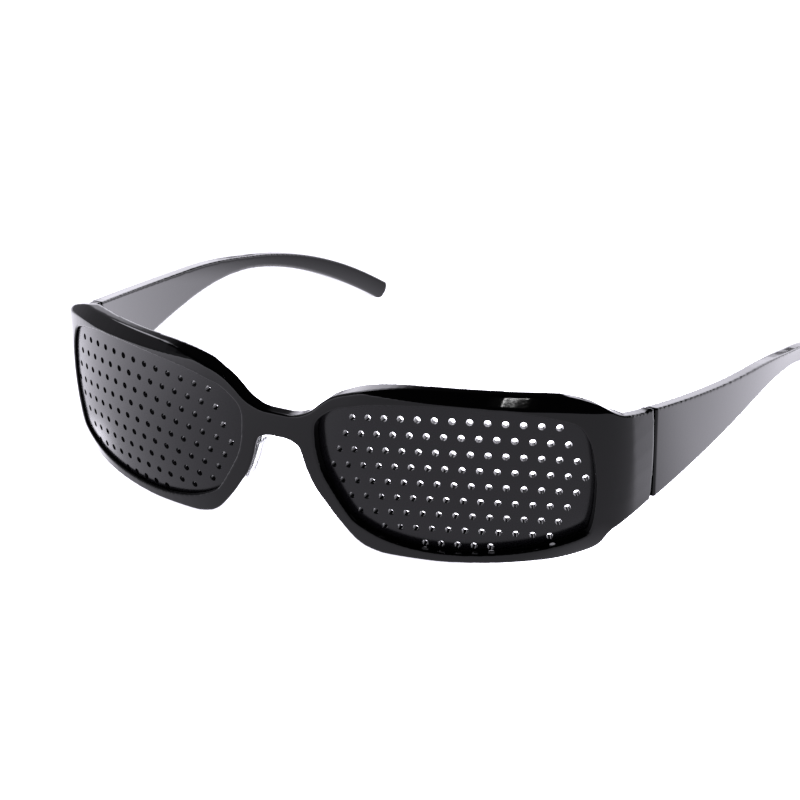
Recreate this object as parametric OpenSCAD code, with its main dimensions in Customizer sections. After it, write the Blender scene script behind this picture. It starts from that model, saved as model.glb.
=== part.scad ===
// Pinhole glasses: a wrapped plastic front with two perforated shades,
// tall tapering temples on small barrel hinges, and clear nose pads.
// X runs across the face, Y runs back towards the ears, Z is up.
// The glasses stand open on the lower rim and on the two ear tips.

/* [Front] */
// Lean of the front: its top comes forward by this angle
face_tilt = 4.8; // [3:0.1:8]
// Radius of the front face, seen from above
face_radius = 72.2; // [70:0.1:80]
// Radius of the front face, seen from the side
face_rise = 130; // [110:1:300]
// Half width of the straight part of the front, at the bridge
flat_half = 15.7; // [14:0.1:17]
// Depth of the rim from its front face to its back
rim_depth = 4.2; // [3.9:0.1:6]
// Radius of the corner that turns the front back to the temple
corner_radius = 13; // [11:0.5:16]
// Distance from where the corner starts to the outer end of the opening
corner_lead = 0.25; // [0:0.05:0.5]
// Heading of the end piece and of the temple root
end_heading = 80; // [76:0.5:84]
// Distance from the front of the bridge to the hinge joint
joint_reach = 29.1; // [27.5:0.1:33]
// Height of the brow's back edge above the lens opening
brow_height = 2.4; // [2:0.1:4]
// Height of the front face left above the lens opening
face_strip = 1.1; // [0.6:0.1:2]
// Slope of the glossy bevel along the brow
bevel_angle = 35; // [25:1:50]
// Height of the rim below the lens opening
lower_rim = 2.2; // [1.8:0.1:4]

/* [Bridge] */
// Height of the bridge's top edge above the lens centre line
bridge_top = 8.5; // [7:0.1:9]
// Height of the bridge bar
bridge_height = 5; // [3.5:0.1:6]
// Depth of the bridge bar from front to back
bridge_depth = 3.2; // [2.5:0.1:4]
// Angle by which the nose opening widens towards the back
nose_flare = 8; // [4:1:12]

/* [Lens opening] */
// Distance from the middle of the front to the middle of a lens opening
opening_x = 34.4; // [34:0.1:35]
// Width of a lens opening, seen straight from the front
opening_width = 52; // [50:0.1:53]
// Height of the opening above the lens centre line
opening_up = 14.9; // [14.2:0.1:17]
// Height of the opening below the lens centre line
opening_down = 15.6; // [15:0.1:17]
// Heading along which the outer half of the opening is cut
opening_heading = 36; // [30:1:38]

/* [Shade with pinholes] */
// Depth of a shade's face behind the front face
lens_recess = 1.6; // [1.4:0.1:1.9]
// Thickness of a shade
lens_thickness = 1.5; // [1.2:0.1:1.7]
// Turn of the two shades together in their seats, about the vertical
lens_turn = 0.8; // [0:0.1:0.9]
// Shift of the two shades together in their seats, towards the right
lens_shift = -0.4; // [-0.5:0.1:0.2]
// Overlap of a shade behind the rim's lip
lens_overlap = 0.8; // [0.6:0.1:1]
// Play between a shade and its seat
lens_play = 0.1; // [0.05:0.01:0.2]
// Distance from the middle of the front to the middle of a hole pattern
pattern_x = 36.2; // [35.8:0.1:36.6]
// Diameter of a pinhole
pinhole_diameter = 1.3; // [0.8:0.05:1.6]
// Distance between pinholes in a row
pinhole_pitch = 3.3; // [2.8:0.05:3.35]
// Distance between rows of pinholes
row_gap = 3.18; // [2.6:0.02:3.2]
// Distance below the lens from which the columns of pinholes fan out
column_fan = 560; // [500:10:2000]
// Radius of the arch that the rows follow
row_arch = 135; // [110:1:400]
// Rows of pinholes above the lens centre line
rows_above = 3.5; // [3.2:0.1:3.6]

/* [Temple] */
// Length of a temple from its joint to the root of its rounded tip
temple_reach = 108.5; // [100:0.5:125]
// Thickness of a temple
temple_thickness = 2.6; // [2.4:0.1:3.4]
// Radius of a temple's outward bow
temple_bow = 250; // [230:5:400]
// Height of a temple at its joint
root_height = 18.2; // [14:0.1:20]
// Height of the root's middle above the lens centre line
root_middle = 2.5; // [2:0.1:4]
// Height of a temple at its slim neck
neck_height = 3.0; // [2.8:0.1:5]
// Place of the neck, as a part of the temple's length
neck_place = 0.575; // [0.45:0.01:0.65]
// Height of a temple just before its tip
tip_height = 4.4; // [4:0.1:7]
// Roundness of the tip: 0 is cut off square, 1 is a half circle
tip_round = 0.55; // [0.3:0.05:1]
// Rise that the temple's middle line starts out with, over its length
root_rise = 4.9; // [4:0.1:8]
// Place where the ear piece starts to drop, as a part of the length
drop_place = 0.35; // [0.2:0.01:0.45]
// Gap between the end piece and the temple
joint_gap = 0.4; // [0.2:0.05:0.8]

/* [Hinge] */
// Height of the hinge's middle below the middle of the temple root
hinge_drop = 1.5; // [0:0.1:3]
// Height of a hinge
hinge_height = 8; // [6:0.1:10]
// Outer radius of the hinge barrel
barrel_radius = 1.5; // [1.3:0.05:2]
// Height of the middle barrel
middle_barrel = 2.8; // [2:0.1:4]
// Gap between two barrels
barrel_gap = 0.15; // [0.05:0.05:0.3]
// Thickness of a hinge leaf
leaf_thickness = 0.9; // [0.6:0.1:1.1]
// Length of a hinge leaf
leaf_length = 6.5; // [5:0.1:8]
// Radius of the hinge screw
screw_radius = 0.7; // [0.5:0.05:0.9]
// Radial clearance of the hinge screw in the barrels
screw_clearance = 0.05; // [0.02:0.01:0.1]
// Radius of the screw's head
screw_head_radius = 1.3; // [1.1:0.05:1.6]
// Height of the screw's head
screw_head_height = 0.7; // [0.5:0.1:1]
// Width of the slot in the screw's head
screw_slot = 0.35; // [0.2:0.05:0.5]
// Radius of a leaf's anchor stud
stud_radius = 0.8; // [0.5:0.05:1]
// Length of a leaf's anchor stud
stud_length = 1.5; // [0.8:0.1:1.8]

/* [Nose pad] */
// Thickness of a nose pad
pad_thickness = 0.9; // [0.7:0.1:1.4]
// Height of a nose pad
pad_height = 9.5; // [7:0.5:11]
// Depth of a nose pad from front to back
pad_depth = 4; // [3.4:0.1:5]
// Height of the pad's middle below the lens centre line
pad_drop = 3.8; // [3:0.1:5]

/* [Hidden] */
$fn = 96;

// Pinholes in each row, from the top row down
row_counts = [13, 14, 15, 16, 15, 14, 13, 11, 5];
// Pitches from the nose end of the pattern to each row's first pinhole
row_starts = [1.5, 1, 0.5, 0, 0.5, 1, 1.5, 3, 5.5];
// Pitches from the nose end of the pattern to its middle
row_middle = 7.5;

// Outline of the lens opening, as parts of its half width and of its
// heights above and below the centre line, from the nose over the top
opening_shape = [
    [-1, 0.27], [-0.985, 0.55], [-0.84, 0.76], [-0.7, 0.84], [-0.48, 0.93],
    [-0.19, 0.98], [0.09, 1], [0.33, 0.98], [0.56, 0.935], [0.865, 0.77],
    [0.955, 0.56], [0.99, 0.27], [1, -0.16], [0.965, -0.62], [0.895, -0.78],
    [0.62, -0.92], [0.25, -0.995], [-0.13, -1], [-0.45, -0.915],
    [-0.67, -0.765], [-0.765, -0.625], [-0.92, -0.22], [-0.975, 0]];
curve_steps = 4;

// Unit of the hand-set points of the outlines: it grows with the opening
unit = opening_width / 52;
far = face_radius;
cut = 0.01;

// The front leans about a line this far behind its face
face_y = -4.6 * unit;
arc_y = face_y + face_radius;
joint_y = face_y + joint_reach;
side_x = opening_x + opening_width / 2;
corner_start = asin((side_x - corner_lead - flat_half) / face_radius);
corner = face_point(corner_start)
    - corner_radius * [sin(corner_start), -cos(corner_start)];
corner_end = corner + corner_radius * [sin(end_heading), -cos(end_heading)];
end_run = (joint_y + far / 10 - corner_end[1]) / sin(end_heading);
joint_x = corner_end[0] + (joint_y - corner_end[1]) / tan(end_heading);
lens_face = face_radius - lens_recess;
lens_rise = face_rise - lens_recess;
pattern_heading = asin((pattern_x - flat_half) / lens_face);

// The temple's bow is one arc that starts square to the end heading
bow_x = joint_x - temple_bow * sin(end_heading);
bow_y = joint_y + temple_bow * cos(end_heading);

// The hinge stands on the inner face of the temple root
inner_x = joint_x - temple_thickness * sin(end_heading);
inner_y = joint_y + temple_thickness * cos(end_heading);
leaf_gap = 0.3;
barrel_play = 0.2;
barrel_inset = barrel_radius + leaf_gap;
outer_barrel = (hinge_height - middle_barrel) / 2 - barrel_gap;

// The rim stands on two small lands cut at its lowest line, the ear tips
// drop to the same floor, and the middle of the length lies on the origin
floor_cut = 0.2;
ear_curve = 2.15;
rim_low = opening_down + lower_rim;
rest_height = rim_low * cos(face_tilt) - (face_y + 1.5 * unit) * sin(face_tilt) - floor_cut;
lowest_middle = root_middle + root_rise + rest_height;
tip_slope = (root_rise - ear_curve * (lowest_middle - tip_height / 2) / (1 - drop_place))
    / temple_reach;
tip_turn = atan(tip_slope);
tip_low = tip_height / 2 * norm([tip_round * sin(tip_turn), cos(tip_turn)]);
tip_back = tip_height / 2 * norm([tip_round * cos(tip_turn), sin(tip_turn)]);
ear_drop = lowest_middle + floor_cut / 2 - tip_low;
front_reach = (face_y + face_rise) * cos(face_tilt) - face_rise;
back_reach = joint_y + temple_reach + tip_back;
origin_y = (front_reach + back_reach) / 2;

// Point of the front face at a heading
function face_point(heading) =
    [flat_half + face_radius * sin(heading), arc_y - face_radius * cos(heading)];

// Depth of the front face straight behind a place across the front
function face_depth(x) =
    abs(x) < flat_half ? face_y
    : abs(x) < face_point(corner_start)[0]
    ? arc_y - sqrt(pow(face_radius, 2) - pow(abs(x) - flat_half, 2))
    : corner[1] - sqrt(pow(corner_radius, 2)
        - pow(min(abs(x) - corner[0], corner_radius * sin(end_heading)), 2));

// Fall of the front face back from its middle line, at a height
function face_fall(z) = z * z / face_rise / 2;

// Point on a smooth curve between b and c, with a and d as its neighbours
function blend_point(a, b, c, d, t) =
    0.5 * (2 * b + (c - a) * t + (2 * a - 5 * b + 4 * c - d) * t * t
    + (3 * b - a - 3 * c + d) * t * t * t);

// Smooth closed curve through points
function closed_curve(p) = [
    for (i = [0 : len(p) - 1]) for (k = [0 : curve_steps - 1])
        blend_point(p[(i + len(p) - 1) % len(p)], p[i],
            p[(i + 1) % len(p)], p[(i + 2) % len(p)], k / curve_steps)];

// Smooth open curve through points
function open_curve(p) = concat(
    [for (i = [0 : len(p) - 2]) for (k = [0 : curve_steps - 1])
        blend_point(p[max(i - 1, 0)], p[i], p[i + 1],
            p[min(i + 2, len(p) - 1)], k / curve_steps)],
    [p[len(p) - 1]]);

// Curve moved outwards by a distance
function grown(p, d) = [
    for (i = [0 : len(p) - 1])
        let (t = p[(i + 1) % len(p)] - p[(i + len(p) - 1) % len(p)])
        p[i] + d * [-t[1], t[0]] / norm(t)];

opening = closed_curve([for (s = opening_shape)
    [opening_x + s[0] * opening_width / 2,
        s[1] * (s[1] > 0 ? opening_up : opening_down)]]);

nose_x = opening_x - opening_width / 2;
split_x = opening_x + 2 * unit;
brow_top = opening_up + brow_height;
bridge_low = bridge_top - bridge_height;

// Heights of the end piece where it meets the temple, in the leaning
// front: the temple's own heights, turned back by the tilt
function leaned(y, z) = z * cos(face_tilt) - y * sin(face_tilt);
joint_top = leaned(joint_y, root_middle + root_height / 2);
joint_low = leaned(joint_y, root_middle - root_height / 2);

// Upper edge of the front from the bridge outwards, seen from the front
top_edge = open_curve([
    [-cut, bridge_top], [nose_x - 5.1 * unit, bridge_top + 0.1 * unit],
    [nose_x - 2.7 * unit, bridge_top + 0.8 * unit],
    [nose_x - 0.8 * unit, (bridge_top + brow_top) / 2 - 2.6 * unit],
    [nose_x + 1.4 * unit, (bridge_top + brow_top) / 2 - 0.7 * unit],
    [nose_x + 3.8 * unit, (bridge_top + brow_top) / 2 + 1 * unit],
    [nose_x + 7 * unit, brow_top - 2.1 * unit], [nose_x + 11.3 * unit, brow_top - 0.9 * unit],
    [nose_x + 16.6 * unit, brow_top - 0.2 * unit], [opening_x - 3 * unit, brow_top],
    [opening_x + 5 * unit, brow_top - 0.15 * unit], [opening_x + 14 * unit, brow_top - 0.7 * unit],
    [side_x - 3.5 * unit, brow_top - 1.5 * unit], [side_x + 10 * unit, brow_top - 2.6 * unit]]);

// Lower edge of the front from outside towards the bridge
low_edge = open_curve([
    [side_x + 10 * unit, 9 * unit - rim_low], [side_x + 1.6 * unit, 5 * unit - rim_low],
    [side_x, 3.9 * unit - rim_low], [side_x - 2 * unit, 2.8 * unit - rim_low],
    [side_x - 6.4 * unit, 1.5 * unit - rim_low],
    [side_x - 11.4 * unit, 0.9 * unit - rim_low], [opening_x + 7 * unit, 0.4 * unit - rim_low],
    [opening_x - 4 * unit, -rim_low], [opening_x - 12 * unit, 0.2 * unit - rim_low],
    [nose_x + 10.2 * unit, 0.9 * unit - rim_low], [nose_x + 7.2 * unit, 2.3 * unit - rim_low],
    [nose_x + 3.6 * unit, 6.2 * unit - rim_low], [nose_x + 1.2 * unit, 9.4 * unit - rim_low],
    [nose_x - 0.8 * unit, 12.2 * unit - rim_low], [nose_x - 2.4 * unit, 15.8 * unit - rim_low],
    [nose_x - 3.6 * unit, bridge_low - 1.6 * unit], [nose_x - 5 * unit, bridge_low - 0.4 * unit],
    [nose_x - 6.8 * unit, bridge_low], [-cut, bridge_low]]);
half_outline = concat(top_edge, low_edge);

// Outline of the end piece, seen along the middle heading of the corner,
// over its run from the start of the corner to the joint
end_view = (corner_start + end_heading) / 2 + 3;
start = face_point(corner_start);
run = (joint_x - start[0]) * cos(end_view) + (joint_y - start[1]) * sin(end_view);
end_high = opening_up + 0.2 * unit;
end_low = 3 * unit - rim_low;
end_outline = concat(
    open_curve([[-2 * far, far], [-18 * unit, end_high + 9 * unit],
        [-9 * unit, end_high + 3.6 * unit], [-5.5 * unit, end_high + 2 * unit],
        [-2.8 * unit, end_high + 1.1 * unit], [-0.5 * unit, end_high + 0.4 * unit],
        [1.2 * unit, end_high - 0.3 * unit], [0.175 * run, end_high - 1 * unit],
        [0.31 * run, (end_high + joint_top) / 2 + 0.3 * unit],
        [0.46 * run, joint_top + 1.9 * unit], [0.64 * run, joint_top + 1.1 * unit],
        [0.8 * run, joint_top + 0.5 * unit], [0.96 * run, joint_top + 0.15 * unit],
        [run + 8 * unit, joint_top + 0.1 * unit]]),
    open_curve([[run + 8 * unit, joint_low + 0.6 * unit], [run, joint_low],
        [0.72 * run, joint_low - 0.7 * unit], [0.52 * run, joint_low - 1.2 * unit],
        [0.35 * run, joint_low - 2.1 * unit], [0.21 * run, joint_low - 3.1 * unit],
        [0.08 * run, end_low + 0.8 * unit], [-0.5 * unit, end_low - 0.6 * unit],
        [-2.2 * unit, end_low - 1.7 * unit], [-5 * unit, end_low - 3.5 * unit],
        [-14 * unit, end_low - 12 * unit], [-2 * far, -far]]));

// Upper edge of the front face, where the bevel starts
face_edge = open_curve([
    [-cut, opening_up + face_strip], [nose_x + 6.6 * unit, opening_up + face_strip],
    [nose_x + 13 * unit, opening_up + face_strip + 0.1 * unit],
    [opening_x - 3 * unit, opening_up + face_strip - 0.2 * unit],
    [opening_x + 3 * unit, opening_up + face_strip - 0.5 * unit],
    [opening_x + 13 * unit, opening_up + face_strip - 1.3 * unit],
    [side_x - 6.4 * unit, opening_up + face_strip - 1.8 * unit],
    [side_x, opening_up + face_strip - 2.8 * unit],
    [side_x + 2 * unit, opening_up + face_strip - 3.5 * unit],
    [side_x + 4 * unit, opening_up + face_strip - 4.2 * unit],
    [side_x + 10 * unit, opening_up + face_strip - 5 * unit]]);

// Run of the temple's middle line and of its height, from 0 to 1
function middle_height(t) = root_middle + root_rise * t
    - ear_drop * pow(max(t - drop_place, 0) / (1 - drop_place), ear_curve);
function ease(u) = u * u * (3 - 2 * u);
function temple_height(t) = t < neck_place
    ? neck_height + (root_height - neck_height) * pow(1 - t / neck_place, 1.4)
    : neck_height + (tip_height - neck_height)
        * ease(min((t - neck_place) / (0.94 - neck_place), 1));
function middle_point(t) = [joint_y + temple_reach * t, middle_height(t)];
function side_step(t) =
    let (d = middle_point(t + 0.005) - middle_point(t - 0.005))
    t == 0 ? [0, 1] : [-d[1], d[0]] / norm(d);

side_steps = 32;
tip_steps = 12;
tip_ahead = [side_step(1)[1], -side_step(1)[0]];
temple_outline = concat(
    [[joint_y - 1, root_middle + root_height / 2]],
    [for (i = [0 : side_steps]) let (t = i / side_steps)
        middle_point(t) + side_step(t) * temple_height(t) / 2],
    [for (i = [1 : tip_steps - 1]) let (a = 180 * i / tip_steps)
        middle_point(1) + tip_height / 2
            * (cos(a) * side_step(1) + tip_round * sin(a) * tip_ahead)],
    [for (i = [side_steps : -1 : 0]) let (t = i / side_steps)
        middle_point(t) - side_step(t) * temple_height(t) / 2],
    [[joint_y - 1, root_middle - root_height / 2]]);

// Puts the leaning front's pieces into the open glasses' place
module leaning() {
    rotate([face_tilt, 0, 0]) children();
}

// Puts everything on the floor, with the middle of the length at the origin
module standing() {
    translate([0, -origin_y, rest_height]) children();
}

module on_side(side) {
    if (side > 0) children();
    else mirror([1, 0, 0]) children();
}

// A shape drawn across the front, driven straight back through it
module driven_back(points) {
    translate([0, far, 0]) rotate([90, 0, 0])
        linear_extrude(height = 2 * far) polygon(points);
}

// Section of a shell that bends about a far centre, seen from the side
module shell_section(outer, rise, depth) {
    intersection() {
        difference() {
            translate([outer - rise, 0]) circle(rise, $fn = 360);
            translate([outer - rise, 0]) circle(rise - depth, $fn = 360);
        }
        translate([max(outer - depth - 4, cut), -far / 2]) square([depth + 5, far]);
    }
}

// Part of space between two headings from a centre
module wedge(from, to) {
    reach = 100;
    translate([0, 0, -far]) linear_extrude(height = 2 * far)
        polygon([[0, 0], reach * [sin(from), -cos(from)],
            reach * [sin((from + to) / 2), -cos((from + to) / 2)],
            reach * [sin(to), -cos(to)]]);
}

// Shell of the front from the bridge to the end piece. The stretches share
// one nested frame, so that they meet exactly face to face
module wrapped_shell() {
    turn = end_heading - corner_start;
    translate([flat_half, face_y + 10, 0]) rotate([90, 0, -90])
        straight_shell(flat_half + cut);
    translate([flat_half, arc_y, 0]) rotate([0, 0, corner_start]) {
        intersection() {
            rotate_extrude($fn = 180) shell_section(face_radius, face_rise, rim_depth);
            wedge(-corner_start, 0);
        }
        translate([0, corner_radius - face_radius, 0]) {
            intersection() {
                rotate_extrude($fn = 120)
                    shell_section(corner_radius, face_rise, rim_depth);
                wedge(0, turn);
            }
            rotate([0, 0, turn - 90]) translate([corner_radius - 10, 0, 0])
                rotate([90, 0, 0]) mirror([0, 0, 1]) straight_shell(end_run);
        }
    }
}

// Straight stretch of the shell, with its face at 10 along X
module straight_shell(length) {
    linear_extrude(height = length) shell_section(10, face_rise, rim_depth);
}

// One half of the front before the shade is let in
module front_half() {
    intersection() {
        wrapped_shell();
        driven_back(half_outline);
        translate([start[0], start[1], 0]) rotate([0, 0, end_view])
            driven_back(end_outline);
        below_bevel();
    }
}

// Everything below the bevel that runs back and up from the front face
module below_bevel() {
    rise = tan(bevel_angle);
    rotate([bevel_angle, 0, 0]) driven_back(concat(
        [for (p = face_edge)
            [p[0], (p[1] - rise * (face_depth(p[0]) + face_fall(p[1]))) * cos(bevel_angle)]],
        [[side_x + 10 * unit, -far], [-cut, -far]]));
}

// The lens opening, or its seat, driven in from the front: straight back
// near the nose and square to the wrapped face towards the side
module opening_shaft(points) {
    intersection() {
        driven_back(points);
        translate([split_x, -far, -far]) mirror([1, 0, 0]) cube([2 * far, 2 * far, 2 * far]);
    }
    intersection() {
        rotate([0, 0, opening_heading]) driven_back([for (p = points)
            [p[0] * cos(opening_heading)
                + (face_depth(p[0]) + face_fall(p[1])) * sin(opening_heading), p[1]]]);
        translate([split_x, -far, -far]) cube([far, 2 * far, 2 * far]);
    }
}

// Puts a shade's bent surface into its seat on one side
module lens_place(side) {
    on_side(side) translate([lens_shift * side, 0, 0])
        rotate([0, 0, lens_turn * side]) translate([flat_half, arc_y, 0])
        children();
}

// Seat that takes a shade from behind, up to the rim's front lip
module lens_seat(side) {
    intersection() {
        on_side(side) opening_shaft(grown(opening, lens_overlap + lens_play));
        lens_place(side) rotate_extrude($fn = 180) intersection() {
            translate([lens_face + lens_play - lens_rise, 0]) circle(lens_rise, $fn = 360);
            translate([lens_face - far / 2, -far / 2]) square([far, far]);
        }
    }
}

// Nose opening, widening a little towards the back
module nose_notch(inset) {
    notch = [for (p = low_edge) if (p[0] < nose_x + 13 * unit) [p[0] - inset, p[1]]];
    translate([0, face_y, 0]) rotate([0, 0, -nose_flare]) driven_back(concat(
        notch, [[-far, bridge_low], [-far, -far], [nose_x + 13 * unit, -far]]));
}

// Place on the inner face at the hinge, in the hinge's own frame:
// X points outwards through the temple and Y runs back along it
module at_hinge() {
    translate([inner_x, inner_y, root_middle - hinge_drop])
        rotate([0, 0, end_heading - 90]) children();
}

module leaf_studs(direction) {
    for (z = [-1, 1])
        translate([-cut, direction * (leaf_gap + leaf_length * 0.6), z * hinge_height * 0.26])
            rotate([0, 90, 0]) cylinder(r = stud_radius, h = stud_length + cut, $fn = 32);
}

// Flat seat for a hinge leaf in the plastic, with the holes for its studs
module leaf_seat(direction) {
    translate([-1, direction > 0 ? 0 : -leaf_gap - leaf_length - 0.1,
        -hinge_height / 2 - 0.1])
        cube([1, leaf_gap + leaf_length + 0.1, hinge_height + 0.2]);
    for (z = [-1, 1])
        translate([-1, direction * (leaf_gap + leaf_length * 0.6), z * hinge_height * 0.26])
            rotate([0, 90, 0]) cylinder(r = stud_radius + screw_clearance,
                h = stud_length + screw_clearance + 1, $fn = 32);
}

module front_frame() {
    color("#1c1c1f") standing() difference() {
        leaning() difference() {
            for (side = [-1, 1]) on_side(side) front_half();
            for (side = [-1, 1]) {
                on_side(side) opening_shaft(opening);
                lens_seat(side);
                on_side(side) intersection() {
                    nose_notch(0);
                    translate([-cut, -far, -far]) cube([nose_x + 9 * unit, 2 * far, 2 * far]);
                }
            }
            bridge_back();
        }
        for (side = [-1, 1]) on_side(side) {
            translate([0, joint_y - joint_gap / 2, -far]) cube([2 * far, far, 2 * far]);
            at_hinge() translate([-8, -leaf_length - 1.2, -far])
                cube([8, far, 2 * far]);
            at_hinge() leaf_seat(-1);
        }
        translate([-far * 2, -far, -rest_height - far]) cube([4 * far, 4 * far, far]);
    }
}

// Space behind the slimmer bridge bar, with sloping ends
module bridge_back() {
    half = nose_x - 4 * unit;
    slope = rim_depth - bridge_depth;
    translate([0, face_y + bridge_depth, -far]) linear_extrude(height = 2 * far)
        polygon([[-half, 0], [half, 0], [half + 9 * slope, slope],
            [half + 14 * slope, 2.5 * slope], [half, far / 3], [-half, far / 3],
            [-half - 14 * slope, 2.5 * slope], [-half - 9 * slope, slope]]);
}

module pinhole_lens(side) {
    color("#2b2a2e") standing() leaning() difference() {
        intersection() {
            on_side(side) opening_shaft(grown(opening, lens_overlap));
            lens_place(side) rotate_extrude($fn = 180)
                shell_section(lens_face, lens_rise, lens_thickness);
        }
        for (row = [0 : len(row_counts) - 1]) for (i = [0 : row_counts[row] - 1])
            lens_place(side)
                pinhole((row_starts[row] + i - row_middle) * pinhole_pitch, row);
    }
}

// Hole square to the bent shade, at a distance from the pattern's middle
module pinhole(along, row) {
    level = (rows_above - row) * row_gap;
    z = level - along * along / row_arch / 2;
    turn = along * (1 + level / column_fan) / lens_face * 180 / PI;
    rotate([0, 0, pattern_heading + turn])
        translate([0, -lens_face + lens_thickness * 2.5, z])
        rotate([90 - asin(z / lens_rise), 0, 0])
            cylinder(d = pinhole_diameter, h = 4 * lens_thickness, $fn = 24);
}

// Clear pad on the wall beside the nose, with round ends
module nose_pad(side) {
    round_radius = pad_depth / 2;
    straight = pad_height / 2 - round_radius;
    back = face_y + rim_depth - 0.7 * unit;
    color("#dfe6ea") standing() leaning() on_side(side) intersection() {
        difference() {
            nose_notch(0);
            nose_notch(pad_thickness);
        }
        translate([nose_x / 4, back, -pad_drop]) rotate([0, 90, 0])
            linear_extrude(height = 1.3 * nose_x) union() {
                for (end = [-1, 1]) translate([end * straight, 0])
                    circle(round_radius, $fn = 48);
                square([2 * straight, 2 * round_radius], center = true);
            }
    }
}

// Barrel of a hinge with the web that joins it to its leaf
module barrel(direction, low, high) {
    translate([-barrel_inset, 0, low]) cylinder(r = barrel_radius, h = high - low, $fn = 48);
    translate([-barrel_inset, direction > 0 ? leaf_gap : -barrel_radius, low])
        cube([barrel_inset - 0.1, barrel_radius - leaf_gap, high - low]);
}

module leaf_plate(direction) {
    translate([-leaf_thickness,
        direction > 0 ? leaf_gap : -leaf_gap - leaf_length, -hinge_height / 2])
        cube([leaf_thickness, leaf_length, hinge_height]);
    leaf_studs(direction);
}

// Room for the other leaf's barrels and for the screw
module barrel_room(low, high) {
    translate([-barrel_inset, 0, low])
        cylinder(r = barrel_radius + barrel_play, h = high - low, $fn = 48);
}

module screw_bore() {
    translate([-barrel_inset, 0, -hinge_height])
        cylinder(r = screw_radius + screw_clearance, h = 2 * hinge_height, $fn = 48);
}

module front_hinge_leaf(side) {
    half = hinge_height / 2;
    color("#b8babd") standing() on_side(side) at_hinge() difference() {
        union() {
            difference() {
                leaf_plate(-1);
                barrel_room(-middle_barrel / 2 - barrel_gap, middle_barrel / 2 + barrel_gap);
            }
            barrel(-1, half - outer_barrel, half);
            barrel(-1, -half, outer_barrel - half);
        }
        screw_bore();
    }
}

module temple_hinge_leaf(side) {
    half = hinge_height / 2;
    color("#a9abae") standing() on_side(side) at_hinge() difference() {
        union() {
            difference() {
                leaf_plate(1);
                barrel_room(half - outer_barrel - barrel_gap, half + 1);
                barrel_room(-half - 1, outer_barrel - half + barrel_gap);
            }
            barrel(1, -middle_barrel / 2, middle_barrel / 2);
        }
        screw_bore();
    }
}

module hinge_screw(side) {
    half = hinge_height / 2;
    color("#d2d3d4") standing() on_side(side) at_hinge()
        translate([-barrel_inset, 0, 0]) difference() {
            union() {
                translate([0, 0, -half]) cylinder(r = screw_radius, h = hinge_height, $fn = 48);
                translate([0, 0, half])
                    cylinder(r = screw_head_radius, h = screw_head_height, $fn = 48);
            }
            translate([-screw_head_radius - 1, -screw_slot / 2, half + screw_head_height / 2])
                cube([2 * screw_head_radius + 2, screw_slot, screw_head_height]);
        }
}

module temple(side) {
    color("#39393d") standing() on_side(side) difference() {
        intersection() {
            translate([bow_x, bow_y, -far]) linear_extrude(height = 2 * far) difference() {
                circle(temple_bow, $fn = 360);
                circle(temple_bow - temple_thickness, $fn = 360);
            }
            rotate([90, 0, 90]) linear_extrude(height = 2 * far)
                polygon(temple_outline);
            translate([0, joint_y + joint_gap / 2, -rest_height])
                cube([2 * far, 4 * far, 2 * far]);
        }
        at_hinge() leaf_seat(1);
    }
}

front_frame();
pinhole_lens(-1);  // pinhole_lens_left
pinhole_lens(1);  // pinhole_lens_right
nose_pad(-1);  // nose_pad_left
nose_pad(1);  // nose_pad_right
front_hinge_leaf(-1);  // front_hinge_leaf_left
front_hinge_leaf(1);  // front_hinge_leaf_right
temple_hinge_leaf(-1);  // temple_hinge_leaf_left
temple_hinge_leaf(1);  // temple_hinge_leaf_right
hinge_screw(-1);  // hinge_screw_left
hinge_screw(1);  // hinge_screw_right
temple(-1);  // temple_left
temple(1);  // temple_right
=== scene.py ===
import bpy
from mathutils import Matrix, Vector


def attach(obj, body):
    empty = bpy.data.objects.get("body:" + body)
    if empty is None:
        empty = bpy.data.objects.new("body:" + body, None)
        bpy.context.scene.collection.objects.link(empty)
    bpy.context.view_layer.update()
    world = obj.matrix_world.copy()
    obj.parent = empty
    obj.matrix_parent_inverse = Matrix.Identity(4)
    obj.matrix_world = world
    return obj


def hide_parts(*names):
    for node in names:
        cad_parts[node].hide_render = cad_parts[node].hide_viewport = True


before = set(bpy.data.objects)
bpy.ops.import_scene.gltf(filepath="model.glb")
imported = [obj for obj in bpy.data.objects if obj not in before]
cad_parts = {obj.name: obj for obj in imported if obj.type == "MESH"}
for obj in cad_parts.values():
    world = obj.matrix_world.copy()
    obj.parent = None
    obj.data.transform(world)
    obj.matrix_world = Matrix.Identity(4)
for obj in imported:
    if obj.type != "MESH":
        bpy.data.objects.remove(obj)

# Camera: place and view directions that were solved from the pinhole grid
CAMERA_PLACE = Vector((0.24111, -0.43343, 0.19324))
CAMERA_RIGHT = Vector((0.86343, 0.50444, -0.00618))
CAMERA_DOWN = Vector((0.17344, -0.30834, -0.93533))
FOCAL_PIXELS = 2440.0
PICTURE_PIXELS = 800.0
SENSOR_MM = 36.0
NEAREST_SEEN = 0.01

# Edges of the mouldings: a fine grid is smoothed first, then a coarser one
SMOOTH_STEP = 0.5
FINE_GRID = 0.00013
FINE_PASSES = 12
LAST_GRID = 0.00022
LAST_PASSES = 3

# Black plastics of the mouldings and of the shades
FRAME_IOR = 1.32
SHADE_IOR = 1.36
FRAME_ROUGHNESS = 0.05
SHADE_ROUGHNESS = 0.18
FRAME_DARK = (0.0010, 0.0010, 0.0011)
FRAME_LIGHT = (0.0018, 0.0018, 0.0020)
SHADE_DARK = (0.0040, 0.0038, 0.0048)
SHADE_LIGHT = (0.0060, 0.0057, 0.0071)
FLOW_SCALE = 45.0
SKIN_SCALE = 1800.0
SKIN_DEPTH = 0.00005
LEAST_GLOSS_FACTOR = 0.8
MOST_GLOSS_FACTOR = 1.2

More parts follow.
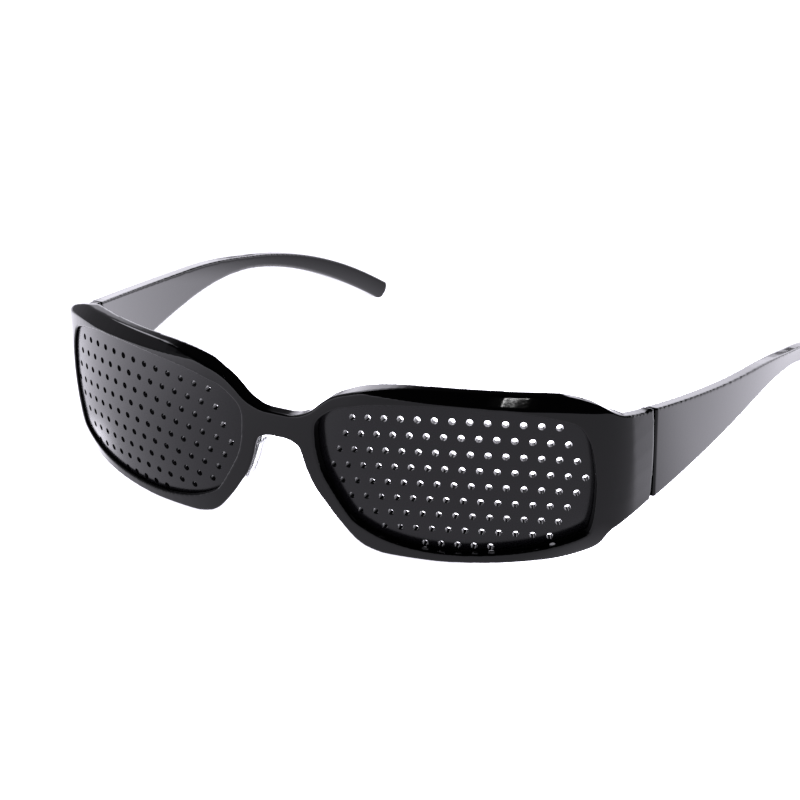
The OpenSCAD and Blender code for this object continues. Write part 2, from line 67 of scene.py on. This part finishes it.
# Clear plastic of the nose pads
PAD_COLOUR = (0.86, 0.87, 0.88)
PAD_CLEARNESS = 0.75
PAD_IOR = 1.41
PAD_LEAST_ROUGHNESS = 0.25
PAD_MOST_ROUGHNESS = 0.4
HAZE_SCALE = 400.0

# Metal of the hinges
LEAF_COLOUR = (0.55, 0.56, 0.58)
LEAF_ROUGHNESS = 0.3
SCREW_COLOUR = (0.7, 0.7, 0.72)
SCREW_ROUGHNESS = 0.2
MARK_STRETCH = (900.0, 900.0, 60.0)
MARK_DEPTH = 0.00002
LEAST_MARK_FACTOR = 0.7
MOST_MARK_FACTOR = 1.4

# Light table: even glow, and what is added at its sides and between the temples
TABLE_WIDTH = 8.0
TABLE_COLOUR = (0.05, 0.05, 0.05)
TABLE_ROUGHNESS = 0.5
TABLE_TINT = (0.97, 0.95, 1.05)
TABLE_GLOW = 1.08
RIGHT_GLOW = 2.6
LEFT_GLOW = 2.0
INNER_GLOW = 3.5

# Zones of the light table in metres: where the glow begins and where it is full.
# RIGHT_SLANT is measured in y, from the slanting line y = RIGHT_SLOPE times x.
RIGHT_SLOPE = 0.85
RIGHT_SLANT = (-0.116, -0.068)
RIGHT_SIDE = (0.06, 0.09)
LEFT_SIDE = (-0.01, -0.15)
LEFT_BACK = (0.02, -0.02)
INNER_RIGHT = (0.075, 0.055)
INNER_LEFT = (-0.08, -0.06)
INNER_FRONT = (-0.062, -0.05)
INNER_BACK = (0.078, 0.055)

# Studio: backdrop low behind the table, wide dim window over the whole left side
# with one bright pane high in it, and a room that is almost dark
BACKDROP_GLOW = 3.0
WINDOW_GLOW = 0.4
PANE_GLOW = 5.0
ROOM_GLOW = 0.015

# Edges of the studio's lights as parts of a unit direction, with x to the right,
# y to the back and z up: where the glow begins and where it is full
BACKDROP_BACK = (0.62, 0.8)
BACKDROP_TOP = (0.46, 0.36)
BACKDROP_FOOT = (-0.02, 0.14)
WINDOW_SIDE = (-0.45, -0.65)
WINDOW_TOP = (0.78, 0.68)
PANE_SIDE = (-0.5, -0.6)
PANE_BACK = (0.25, 0.35)
PANE_FOOT = (0.5, 0.56)
PANE_TOP = (0.74, 0.68)

# Narrow strip lamp high in front of the right brow
LAMP_PLACE = (0.123, -0.214, 0.610)
LAMP_AIM = (0.047, -0.061, 0.034)
LAMP_WIDTH = 0.04
LAMP_HEIGHT = 0.003
LAMP_WATTS = 0.03


def make_camera():
    """Camera at the place and with the view that the photograph was taken from."""
    data = bpy.data.cameras.new("camera")
    data.sensor_width = SENSOR_MM
    data.lens = SENSOR_MM * FOCAL_PIXELS / PICTURE_PIXELS
    data.clip_start = NEAREST_SEEN
    camera = bpy.data.objects.new("camera", data)
    bpy.context.scene.collection.objects.link(camera)
    right = CAMERA_RIGHT.normalized()
    back = right.cross(-CAMERA_DOWN).normalized()
    up = back.cross(right)
    turn = Matrix((right, up, back)).transposed()
    camera.matrix_world = Matrix.Translation(CAMERA_PLACE) @ turn.to_4x4()
    bpy.context.scene.camera = camera


# Sockets of the colour mix node, which share their names with its other kinds
MIX_FROM = 6
MIX_TO = 7
MIX_RESULT = 2


class Nodes:
    """Short way to make and join the nodes of one material or world."""

    def __init__(self, owner):
        owner.use_nodes = True
        self.tree = owner.node_tree

    def new(self, kind, **values):
        node = self.tree.nodes.new("ShaderNode" + kind)
        for name, value in values.items():
            if name in node.bl_rna.properties:
                setattr(node, name, value)
            else:
                node.inputs[name.replace("_", " ")].default_value = value
        return node

    def find(self, kind):
        return next(n for n in self.tree.nodes if n.type == kind)

    def join(self, source, target):
        self.tree.links.new(source, target)

    def ramp(self, source, start, end):
        """Soft step from 0 at one value of the source to 1 at another."""
        node = self.new("MapRange", interpolation_type="SMOOTHSTEP",
                        From_Min=start, From_Max=end)
        self.join(source, node.inputs["Value"])
        return node.outputs["Result"]

    def product(self, *sources):
        result = sources[0]
        for source in sources[1:]:
            node = self.new("Math", operation="MULTIPLY")
            self.join(result, node.inputs[0])
            self.join(source, node.inputs[1])
            result = node.outputs[0]
        return result

    def scaled(self, source, factor, added):
        """The source times a number, plus a number or another source."""
        node = self.new("Math", operation="MULTIPLY_ADD")
        self.join(source, node.inputs[0])
        node.inputs[1].default_value = factor
        if isinstance(added, float):
            node.inputs[2].default_value = added
        else:
            self.join(added, node.inputs[2])
        return node.outputs[0]


def moulded_plastic(name, dark, light, roughness, ior):
    """Moulded plastic: faint flow marks, uneven gloss and a very fine skin."""
    material = bpy.data.materials.new(name)
    n = Nodes(material)
    shader = n.find("BSDF_PRINCIPLED")
    place = n.new("TexCoord").outputs["Object"]
    flow = n.new("TexNoise", Scale=FLOW_SCALE, Detail=5.0, Roughness=0.6)
    tint = n.new("Mix", data_type="RGBA")
    tint.inputs[MIX_FROM].default_value = (*dark, 1)
    tint.inputs[MIX_TO].default_value = (*light, 1)
    gloss = n.new("MapRange", To_Min=roughness * LEAST_GLOSS_FACTOR,
                  To_Max=roughness * MOST_GLOSS_FACTOR)
    skin = n.new("TexNoise", Scale=SKIN_SCALE, Detail=3.0)
    bump = n.new("Bump", Strength=0.05, Distance=SKIN_DEPTH)
    n.join(place, flow.inputs["Vector"])
    n.join(place, skin.inputs["Vector"])
    n.join(flow.outputs["Fac"], tint.inputs["Factor"])
    n.join(flow.outputs["Fac"], gloss.inputs["Value"])
    n.join(skin.outputs["Fac"], bump.inputs["Height"])
    n.join(tint.outputs[MIX_RESULT], shader.inputs["Base Color"])
    n.join(gloss.outputs["Result"], shader.inputs["Roughness"])
    n.join(bump.outputs["Normal"], shader.inputs["Normal"])
    shader.inputs["IOR"].default_value = ior
    return material


def clear_plastic(name):
    """Clear soft plastic with a little haze in it."""
    material = bpy.data.materials.new(name)
    n = Nodes(material)
    shader = n.find("BSDF_PRINCIPLED")
    haze = n.new("TexNoise", Scale=HAZE_SCALE, Detail=3.0)
    rough = n.new("MapRange", To_Min=PAD_LEAST_ROUGHNESS, To_Max=PAD_MOST_ROUGHNESS)
    n.join(n.new("TexCoord").outputs["Object"], haze.inputs["Vector"])
    n.join(haze.outputs["Fac"], rough.inputs["Value"])
    n.join(rough.outputs["Result"], shader.inputs["Roughness"])
    shader.inputs["Base Color"].default_value = (*PAD_COLOUR, 1)
    shader.inputs["Transmission Weight"].default_value = PAD_CLEARNESS
    shader.inputs["IOR"].default_value = PAD_IOR
    return material


def drawn_steel(name, colour, roughness):
    """Plated hinge metal with fine lengthwise drawing marks."""
    material = bpy.data.materials.new(name)
    n = Nodes(material)
    shader = n.find("BSDF_PRINCIPLED")
    stretch = n.new("Mapping", Scale=MARK_STRETCH)
    marks = n.new("TexNoise", Scale=4.0, Detail=4.0)
    rough = n.new("MapRange", To_Min=roughness * LEAST_MARK_FACTOR,
                  To_Max=roughness * MOST_MARK_FACTOR)
    bump = n.new("Bump", Strength=0.15, Distance=MARK_DEPTH)
    n.join(n.new("TexCoord").outputs["Object"], stretch.inputs["Vector"])
    n.join(stretch.outputs["Vector"], marks.inputs["Vector"])
    n.join(marks.outputs["Fac"], rough.inputs["Value"])
    n.join(marks.outputs["Fac"], bump.inputs["Height"])
    n.join(rough.outputs["Result"], shader.inputs["Roughness"])
    n.join(bump.outputs["Normal"], shader.inputs["Normal"])
    shader.inputs["Base Color"].default_value = (*colour, 1)
    shader.inputs["Metallic"].default_value = 1.0
    return material


def round_edges(piece, grid, passes):
    """One stage of rounding: an even grid of faces, then smoothing."""
    remesh = piece.modifiers.new("grid", "REMESH")
    remesh.mode = "VOXEL"
    remesh.voxel_size = grid
    smooth = piece.modifiers.new("round", "SMOOTH")
    smooth.factor = SMOOTH_STEP
    smooth.iterations = passes


def rounded_piece(name, node, body, material):
    """A moulding with softly rounded edges that stands for a CAD node."""
    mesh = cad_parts[node].data.copy()
    piece = bpy.data.objects.new(name, mesh)
    bpy.context.scene.collection.objects.link(piece)
    round_edges(piece, FINE_GRID, FINE_PASSES)
    round_edges(piece, LAST_GRID, LAST_PASSES)
    ready = piece.evaluated_get(bpy.context.evaluated_depsgraph_get())
    rounded = bpy.data.meshes.new_from_object(ready)
    piece.modifiers.clear()
    piece.data = rounded
    rounded.materials.clear()
    rounded.materials.append(material)
    for face in rounded.polygons:
        face.use_smooth = True
    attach(piece, body)
    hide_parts(node)
    return piece


def light_table():
    """Pale floor that glows like a light table, brighter in three zones."""
    bpy.ops.mesh.primitive_plane_add(size=TABLE_WIDTH)
    table = bpy.context.object
    table.name = "floor"
    material = bpy.data.materials.new("light_table")
    n = Nodes(material)
    shader = n.find("BSDF_PRINCIPLED")
    place = n.new("SeparateXYZ")
    n.join(n.new("TexCoord").outputs["Object"], place.inputs["Vector"])
    x, y = place.outputs["X"], place.outputs["Y"]
    slant = n.scaled(x, -RIGHT_SLOPE, y)
    right = n.product(n.ramp(slant, *RIGHT_SLANT), n.ramp(x, *RIGHT_SIDE))
    left = n.product(n.ramp(x, *LEFT_SIDE), n.ramp(y, *LEFT_BACK))
    inner = n.product(n.ramp(x, *INNER_RIGHT), n.ramp(x, *INNER_LEFT),
                      n.ramp(y, *INNER_FRONT), n.ramp(y, *INNER_BACK))
    glow = n.scaled(right, RIGHT_GLOW, TABLE_GLOW)
    glow = n.scaled(left, LEFT_GLOW, glow)
    glow = n.scaled(inner, INNER_GLOW, glow)
    n.join(glow, shader.inputs["Emission Strength"])
    shader.inputs["Emission Color"].default_value = (*TABLE_TINT, 1)
    shader.inputs["Base Color"].default_value = (*TABLE_COLOUR, 1)
    shader.inputs["Roughness"].default_value = TABLE_ROUGHNESS
    table.data.materials.append(material)


def studio():
    """Backdrop low behind the table, window and pane at the left, dark room."""
    world = bpy.data.worlds.new("studio")
    n = Nodes(world)
    way = n.new("SeparateXYZ")
    n.join(n.new("TexCoord").outputs["Generated"], way.inputs["Vector"])
    x, y, z = (way.outputs[axis] for axis in "XYZ")
    backdrop = n.product(n.ramp(y, *BACKDROP_BACK), n.ramp(z, *BACKDROP_TOP),
                         n.ramp(z, *BACKDROP_FOOT))
    window = n.product(n.ramp(x, *WINDOW_SIDE), n.ramp(z, *WINDOW_TOP))
    pane = n.product(n.ramp(x, *PANE_SIDE), n.ramp(y, *PANE_BACK),
                     n.ramp(z, *PANE_FOOT), n.ramp(z, *PANE_TOP))
    glow = n.scaled(backdrop, BACKDROP_GLOW, ROOM_GLOW)
    glow = n.scaled(window, WINDOW_GLOW, glow)
    glow = n.scaled(pane, PANE_GLOW, glow)
    n.join(glow, n.find("BACKGROUND").inputs["Strength"])
    n.find("BACKGROUND").inputs["Color"].default_value = (*TABLE_TINT, 1)
    bpy.context.scene.world = world


def lamp():
    """Narrow strip lamp that gives the short highlight on the brow."""
    data = bpy.data.lights.new("lamp", "AREA")
    data.shape = "RECTANGLE"
    data.size = LAMP_WIDTH
    data.size_y = LAMP_HEIGHT
    data.energy = LAMP_WATTS
    light = bpy.data.objects.new("lamp", data)
    light.location = LAMP_PLACE
    away = Vector(LAMP_PLACE) - Vector(LAMP_AIM)
    light.rotation_euler = away.to_track_quat("Z", "Y").to_euler()
    bpy.context.scene.collection.objects.link(light)


def dress(material, *nodes):
    """Gives one material to pieces that keep their CAD shape."""
    for node in nodes:
        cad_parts[node].data.materials.clear()
        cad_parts[node].data.materials.append(material)


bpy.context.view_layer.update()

make_camera()
light_table()
studio()
lamp()
bpy.context.scene.view_settings.view_transform = "Standard"

frame_black = moulded_plastic("frame_black", FRAME_DARK, FRAME_LIGHT,
                              FRAME_ROUGHNESS, FRAME_IOR)
shade_black = moulded_plastic("shade_black", SHADE_DARK, SHADE_LIGHT,
                              SHADE_ROUGHNESS, SHADE_IOR)
clear = clear_plastic("clear_pad")
leaf_steel = drawn_steel("leaf_steel", LEAF_COLOUR, LEAF_ROUGHNESS)
screw_steel = drawn_steel("screw_steel", SCREW_COLOUR, SCREW_ROUGHNESS)

rounded_piece("front_moulding", "front_frame", "front", frame_black)
for side in ("left", "right"):
    rounded_piece("temple_moulding_" + side, "temple_" + side, side + "_temple",
                  frame_black)
    rounded_piece("pad_moulding_" + side, "nose_pad_" + side, "front",
                  clear)
    dress(shade_black, "pinhole_lens_" + side)
    dress(leaf_steel, "front_hinge_leaf_" + side, "temple_hinge_leaf_" + side)
    dress(screw_steel, "hinge_screw_" + side)
